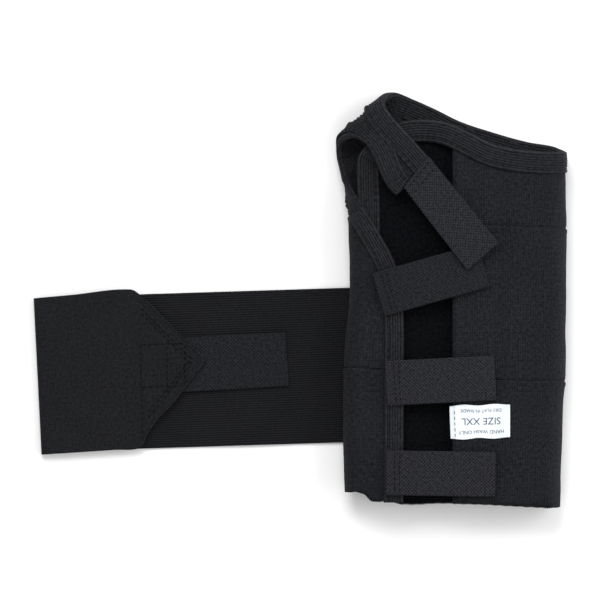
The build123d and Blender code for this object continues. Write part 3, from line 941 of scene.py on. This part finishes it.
def hook_tab(name, corners, level, bend, nodes, rows_at, droop=0.0, seed=0.0, material=HOOK):
    """A flat tab of hook tape with rounded corners.

    corners run start-left, start-right, end-right, end-left.
    """
    start_left, start_right, end_right, end_left = [Vector(c) for c in corners]
    length = ((end_left - start_left).length + (end_right - start_right).length) / 2
    half = (start_left - start_right).length / 2
    points = []
    lengths = []

    def place(s, t):
        """Point at a share along and across."""
        left = start_left.lerp(end_left, s)
        right = start_right.lerp(end_right, s)
        flat = (left + right) / 2 + (right - left) / 2 * t
        sag = droop * clamp((s - 0.25) / 0.75) ** 2
        return Vector((flat.x, flat.y, level - sag + drift(flat.x, flat.y, 14, 0.35, seed)))

    for s in steps(length, 0.35, 1.0, 2.5):
        reach = min(s * length, (1 - s) * length)
        wide = half
        if reach < TAB_CORNER:
            wide = half - TAB_CORNER + math.sqrt(max(TAB_CORNER ** 2 - (TAB_CORNER - reach) ** 2, 0))
        across = [(2 * k / TAB_COLUMNS - 1) * wide for k in range(TAB_COLUMNS + 1)]
        points.append([place(s, a / half) for a in across])
        lengths.append([(a, s * length) for a in across])
    piece = sheet_mesh(name, points, lengths, TAPE_THICK, UP)
    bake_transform(piece)
    finish_sheet(piece, material, None, nodes)
    sewn = []
    for s in rows_at:
        sewn += stitches([place(s / length, t) + UP * 0.1 for t in (-0.9, 0, 0.9)], length=2.0, gap=0.7)
    if sewn:
        threads(name + "_stitches", sewn, 0.4, bend[0])


def hinge_bend(still, moving, hinge, along):
    """Still and moving pieces of a tab, with two points spread to both sides of its hinge line."""
    return still, moving, (hinge - along * HINGE_REACH) * MM, (hinge + along * HINGE_REACH) * MM


def make_tabs():
    for name, x, y, degrees, seed in (("upper_tab", -38.2, 4.6, 15.8, 1.0),
                                      ("middle_tab", -34.4, -39.0, 2.9, 2.0),
                                      ("lower_tab", -34.4, -83.0, -0.8, 3.0)):
        turn = math.radians(degrees)
        along = Vector((math.cos(turn), math.sin(turn), 0))
        across = Vector((-along.y, along.x, 0)) * TAB_HALF
        root = Vector((x, y, 0))
        tip = root + along * TAB_LONG
        hinge = root + along * TAB_SEWN
        level = TAB_TOP + 0.35
        bend = hinge_bend("thumb_side_flap", name, hinge + UP * level, along)
        hook_tab(name + "_tape", (root + across, root - across, tip - across, tip + across), level, bend,
                 [name, name + "_root"], (4.2, 6.6), 1.2, seed, DARKER_HOOK if name == "upper_tab" else HOOK)
    bend = hinge_bend("thumb_strap", "thumb_tab", thumb(44.15, 0, THUMB_TAB_TOP), ALONG)
    corners = (thumb(36.1, 10.7, 0), thumb(40.0, -8.6, 0), thumb(91.2, -10.8, 0), thumb(90.7, 9.6, 0))
    hook_tab("thumb_tab_tape", corners, THUMB_TAB_TOP, bend, ["thumb_tab", "thumb_tab_root"], (2.0, 6.0),
             0.3, 4.0)


make_tabs()


# ---- wrap strap

ROOT = Vector((-57.2, -30.2, 0))
RUN_TURN = math.radians(181.8)
RUN_ALONG = Vector((math.cos(RUN_TURN), math.sin(RUN_TURN), 0))
RUN_ACROSS = Vector((RUN_ALONG.y, -RUN_ALONG.x, 0))
END_FOLD = Vector((-206.13, -34.88, 0))
END_TURN = math.radians(4.2)
END_ALONG = Vector((math.cos(END_TURN), math.sin(END_TURN), 0))
END_ACROSS = Vector((-END_ALONG.y, END_ALONG.x, 0))
STRAP_HALF = 38.1
STRAP_COLUMNS = 264
END_COLUMNS = 96

# Edges of the folded-back end, across from its middle line, by distance from the fold
END_UPPER_EDGE = [(0, 37.8), (20, 38.1), (46, 38.9), (50.3, 38.1), (52.6, 36.1), (54.1, 34.6), (68.5, 17.9),
                  (81.5, 3.0), (83.2, 1.9)]
END_LOWER_EDGE = [(0, -39.5), (35, -39.8), (47.5, -39.8), (49.3, -38.8), (50.3, -36.0), (66.5, -17.7),
                  (81.7, -0.6), (83.2, 0.6)]
END_BOX = [(-155.4, -20.2), (-133.6, -19.2), (-133.4, -40.2), (-155.2, -41.2), (-155.4, -20.2)]


def end_point(x, y, z):
    """Point in the folded-back end's own directions: along it from the fold, across it, and up."""
    return END_FOLD + END_ALONG * x + END_ACROSS * y + UP * z


def make_wrap_strap():
    across = [STRAP_HALF * (2 * k / STRAP_COLUMNS - 1) for k in range(STRAP_COLUMNS + 1)]
    points = []
    lengths = []
    for s in np.linspace(-77, 141, 74):
        row = []
        for v in across:
            flat = ROOT + RUN_ALONG * float(s) + RUN_ACROSS * v
            rib = STRAP_RIB_RISE * wave(v, STRAP_RIB_PITCH)
            lift = clamp((s - 2) / 12) * (drift(flat.x, flat.y, 30, 0.9, 6.0) + 0.35)
            row.append((flat.x, flat.y, STRAP_TOP - 0.15 + rib + max(lift, 0)))
        points.append(row)
        lengths.append([(v, float(s)) for v in across])
    piece = sheet_mesh("wrap_strap_cloth", points, lengths, STRAP_THICK, UP)
    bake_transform(piece)
    finish_sheet(piece, STRAP, None,
                 ["wrap_strap_root", "wrap_strap_run"])


def end_side(x, top):
    """Edge of the folded-back end, across from its middle line, at a distance from the fold."""
    return follow(END_UPPER_EDGE if top else END_LOWER_EDGE, x)


def end_level(x, y):
    """Height of the folded-back end at a plan point."""
    return END_TOP + 0.45 + drift(x, y, 24, 0.7, 7.0)


def make_strap_end():
    low_level = 0.45
    radius = (END_TOP - low_level) / 2
    centre = low_level + radius
    bulge = radius * 1.1
    rows = [("run", float(x)) for x in np.linspace(12, bulge + 0.4, 7)]
    rows += [("fold", float(a)) for a in np.linspace(-math.pi / 2, math.pi / 2, 11)]
    rows += [("end", bulge + share * (83.1 - bulge)) for share in steps(83.0, 0.5, 1.3, 3.0)[1:]]
    points = []
    lengths = []
    run = 0.0
    before = None
    for kind, value in rows:
        row = []
        sizes = []
        for k in range(END_COLUMNS + 1):
            t = k / END_COLUMNS
            v = end_side(0, False) + (end_side(0, True) - end_side(0, False)) * t
            slant = 0.023 * v - 0.3
            if kind == "run":
                flat = end_point(value + slant, v, low_level)
            elif kind == "fold":
                flat = end_point(bulge * (1 - math.cos(value)) + slant, v, centre + radius * math.sin(value))
            else:
                lower, higher = end_side(value, False), end_side(value, True)
                v = lower + (higher - lower) * t
                flat = end_point(value + slant * max(1 - value / 40, 0), v, 0)
                flat.z = END_TOP + (end_level(flat.x, flat.y) - END_TOP) * min(value / 12, 1)
                groove = bell(min(v - lower, higher - v) - 4.5, 0.8) if value > 50 else 0
                flat.z -= 0.25 * groove
            row.append(flat)
            sizes.append(v)
        if before is not None:
            run += (row[END_COLUMNS // 2] - before).length
        before = row[END_COLUMNS // 2]
        points.append(row)
        lengths.append([(v, run) for v in sizes])
    piece = sheet_mesh("strap_end_cloth", points, lengths, STRAP_THICK, UP)
    bend = ("wrap_strap", "wrap_end", END_FOLD * MM + UP * 0.0009, END_FOLD * MM + UP * 0.0028)
    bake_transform(piece)
    finish_sheet(piece, STRAP_BACK, None,
                 ["wrap_strap_end"])

    sewn = []

    def line(a, b):
        """Stitches on the folded-back end between two plan points."""
        ends = [Vector((*a, 0)).lerp(Vector((*b, 0)), k / 12) for k in range(13)]
        return stitches([Vector((p.x, p.y, end_level(p.x, p.y) + 0.1)) for p in ends], length=2.2, gap=0.8)

    for inset in (6.5, 9.0):
        sides = [end_point(x, end_side(x, True) - inset, 0) for x in (52.5, 76)]
        sewn += line(sides[0].xy, sides[1].xy)
        sides = [end_point(x, end_side(x, False) + inset, 0) for x in (52.5, 76)]
        sewn += line(sides[0].xy, sides[1].xy)
    sewn += line((-154.6, -40), (-154.6, -68))
    sewn += line((-142.4, -19.8), (-142.2, -46))
    sewn += line((-133.8, -22), (-133.8, -35)) + line((-130.6, -24.5), (-130.6, -32))
    threads("strap_end_stitches", sewn, STRAP_THREAD, "wrap_end")

    boxed = []
    for a, b in zip(END_BOX, END_BOX[1:]):
        boxed += line(a, b)
    threads("strap_end_box_stitches", boxed, STRAP_THREAD, "wrap_end")

    # A lighter bead in the hook tape's colour along both slanted edges of the end.
    edge_bead = []
    for top in (True, False):
        rim = [end_point(x, end_side(x, top) * 0.985, 0) for x in np.linspace(51.5, 82.5, 32)]
        edge_bead += stitches([Vector((p.x, p.y, end_level(p.x, p.y) + 0.05)) for p in rim], length=1.1, gap=0.02)
    threads("strap_end_edge_bead", edge_bead, 0.95, "wrap_end", None, HOOK, "strap_elastic")

    level = high("wrap_tab")
    bend = hinge_bend("wrap_end", "wrap_tab", end_point(83.65, 0, level), END_ALONG)
    corners = [end_point(x, y, 0) for x, y in ((57, 13.2), (57, -13.6), (123.2, -14.7), (123.2, 12.1))]
    hook_tab("wrap_tab_tape", corners, level, bend, ["wrap_tab", "wrap_tab_root"], (), seed=5.0,
             material=DARKER_HOOK)


make_wrap_strap()
make_strap_end()


# ---- seams, label and overlocked edge

LABEL_CORNERS = ((-2.7, -66.5, 0), (26.5, -65.7, 0), (26.5, -49.2, 0), (-3.3, -50.0, 0))
LABEL_LONG = 29.5
LABEL_HIGH = 16.7
LABEL_COLUMNS = 60
LABEL_ROWS = 34


def front_at(x, y, lift=0.0):
    """Point on the front of the sleeve."""
    return Vector((x, y, FRONT_TOP + relief(x, y, True) + lift))


def make_seams():
    panel = []
    flap = []
    for seam in (UPPER_SEAM, LOWER_SEAM):
        panel += stitches([front_at(x, follow(seam, x), 0.1) for x in np.arange(PANEL_EDGE + 1, 46.5, 2.0)])
        stop = -43 if seam is UPPER_SEAM else -36
        flap += stitches([front_at(x, follow(seam, x), 0.1) for x in np.arange(-46.5, stop, 2.0)])
    panel += stitches([front_at(PANEL_EDGE + 1.6, y) for y in np.arange(-97, 76, 2.0)])
    threads("panel_seam_stitches", panel, SEAM_THREAD, "palm_side")
    threads("flap_seam_stitches", flap, SEAM_THREAD, None, FLAP_HINGE)


def label_at(across, along, lift=0.0):
    """Point on the label, from 0 to 1 across and along it."""
    corners = [Vector(c) for c in LABEL_CORNERS]
    flat = corners[0].lerp(corners[1], across).lerp(corners[3].lerp(corners[2], across), along)
    side = 2 * along - 1
    curl = 0.4 * abs(side) ** 6 * (0.5 + 0.5 * math.sin(flat.x / 1.9)) + 0.35 * across ** 4
    return front_at(flat.x, flat.y + 0.3 * math.sin(flat.x / 2.4) * side, 0.45 + curl + lift)


def make_label():
    shares = [[(k / LABEL_COLUMNS, j / LABEL_ROWS) for k in range(LABEL_COLUMNS + 1)]
              for j in range(LABEL_ROWS + 1)]
    points = [[label_at(a, b) for a, b in row] for row in shares]
    lengths = [[(LABEL_LONG * a, LABEL_HIGH * b) for a, b in row] for row in shares]
    piece = sheet_mesh("size_label_satin", points, lengths, LABEL_THICK, UP)
    finish_sheet(piece, SATIN, "palm_side",
                 ["size_label"])
    sewn = stitches([label_at(0.08, j / 5, 0.15) for j in range(6)], length=2.0)
    threads("label_stitches", sewn, 0.35, "palm_side")
    for name, words, size, along in (("label_size", "SIZE XXL", 4.8, 0.52),
                                     ("label_wash", "HAND WASH ONLY", 2.5, 0.2),
                                     ("label_dry", "DRY FLAT IN SHADE", 2.2, 0.83)):
        bpy.ops.object.select_all(action="DESELECT")
        bpy.ops.object.text_add()
        bpy.context.object.name = name
        text = bpy.context.object.data
        text.body = words
        text.align_x = "CENTER"
        text.align_y = "CENTER"
        text.size = size * MM
        text.resolution_u = 3
        bpy.ops.object.convert(target="MESH")
        piece = bpy.context.object
        for vertex in piece.data.vertices:
            x, y = vertex.co.x / MM, vertex.co.y / MM
            vertex.co = label_at(0.52 - x / LABEL_LONG, along - y / LABEL_HIGH, 0.06) * MM
        piece.data.flip_normals()
        layer = piece.data.uv_layers[0] if piece.data.uv_layers else piece.data.uv_layers.new()
        layer.name = "cloth"
        for loop in piece.data.loops:
            co = piece.data.vertices[loop.vertex_index].co
            layer.data[loop.index].uv = (co.x, co.y)
        piece.data.materials.clear()
        piece.data.materials.append(INK)
        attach(piece, "palm_side")


def make_overlock():
    """Slanted loops of thread over the cut edge at the forearm end."""
    def loops(places, level):
        found = []
        for x in places:
            edge = forearm_edge(None, 0, x)
            z = level(x, edge)
            found.append(((x, edge + 0.05, z - 0.2), (x + 0.35, edge + 1.6, z + 0.05), UP))
            found.append(((x, edge + 0.05, z + 0.1), (x, edge + 0.05, z - 1.4), (0, -1, 0)))
        return found

    def front(x, y):
        return FRONT_TOP + relief(x, y + 2, True)

    panel = loops(np.arange(PANEL_EDGE + 0.8, 47, 0.9), front)
    tongue = loops(np.arange(-46, PANEL_EDGE - 0.4, 0.9), lambda x, y: tongue_level(x, y) + 0.2)
    palm = loops(np.arange(-46, 46, 0.9), lambda x, y: PALM_LOW + 1.4)
    flap = loops(np.arange(-47, -34, 0.9), front)
    threads("overlock_threads", panel + tongue + palm, OVERLOCK_THREAD, "palm_side")
    threads("flap_overlock_threads", flap, OVERLOCK_THREAD, None, FLAP_HINGE)
    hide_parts("forearm_end_overlock")


make_seams()
make_label()
make_overlock()


# ---- studio

# Camera straight above: its place, and how much of the table it takes in, in metres
VIEW_X = -0.0768
VIEW_Y = 0.0020
VIEW_HEIGHT = 5.0
VIEW_WIDTH = 0.2964

# Each lamp's name, place, power in watts and size, in metres
LAMPS = (("key_light", (-0.3, 1.0, 1.2), 16, 0.9), ("fill_light", (1.1, 0.3, 0.8), 9, 0.9),
         ("low_light", (-0.2, -1.1, 0.9), 2.5, 1.0), ("rim_light", (0.8, -0.25, 0.14), 3.0, 0.3))
SENSOR = 36


def make_studio():
    middle = (cad_low + cad_high) / 2
    bpy.ops.mesh.primitive_plane_add(size=6.0, location=(middle.x, middle.y, 0))
    floor = bpy.context.object
    floor.name = "studio_floor"
    paper = bpy.data.materials.new("studio_paper")
    paper.use_nodes = True
    shader = paper.node_tree.nodes["Principled BSDF"]
    shader.inputs["Base Color"].default_value = (0.93, 0.93, 0.93, 1)
    shader.inputs["Roughness"].default_value = 0.9
    shader.inputs["Specular IOR Level"].default_value = 0.1
    floor.data.materials.append(paper)

    world = bpy.data.worlds.new("studio_world")
    bpy.context.scene.world = world
    bpy.context.scene.view_settings.view_transform = "Standard"
    world.use_nodes = True
    world.node_tree.nodes["Background"].inputs["Color"].default_value = (1, 1, 1, 1)
    world.node_tree.nodes["Background"].inputs["Strength"].default_value = 0.62

    target = Vector((middle.x, middle.y, 0))
    for name, place, energy, size in LAMPS:
        bpy.ops.object.light_add(type="AREA", location=place)
        lamp = bpy.context.object
        lamp.name = name
        lamp.data.energy = energy
        lamp.data.size = size
        lamp.rotation_euler = (target - Vector(place)).to_track_quat("-Z", "Y").to_euler()

    bpy.ops.object.camera_add(location=(VIEW_X, VIEW_Y, VIEW_HEIGHT), rotation=(0, 0, 0))
    camera = bpy.context.object
    camera.data.sensor_width = SENSOR
    camera.data.lens = SENSOR * VIEW_HEIGHT / VIEW_WIDTH
    camera.data.clip_end = 20
    bpy.context.scene.camera = camera


make_studio()
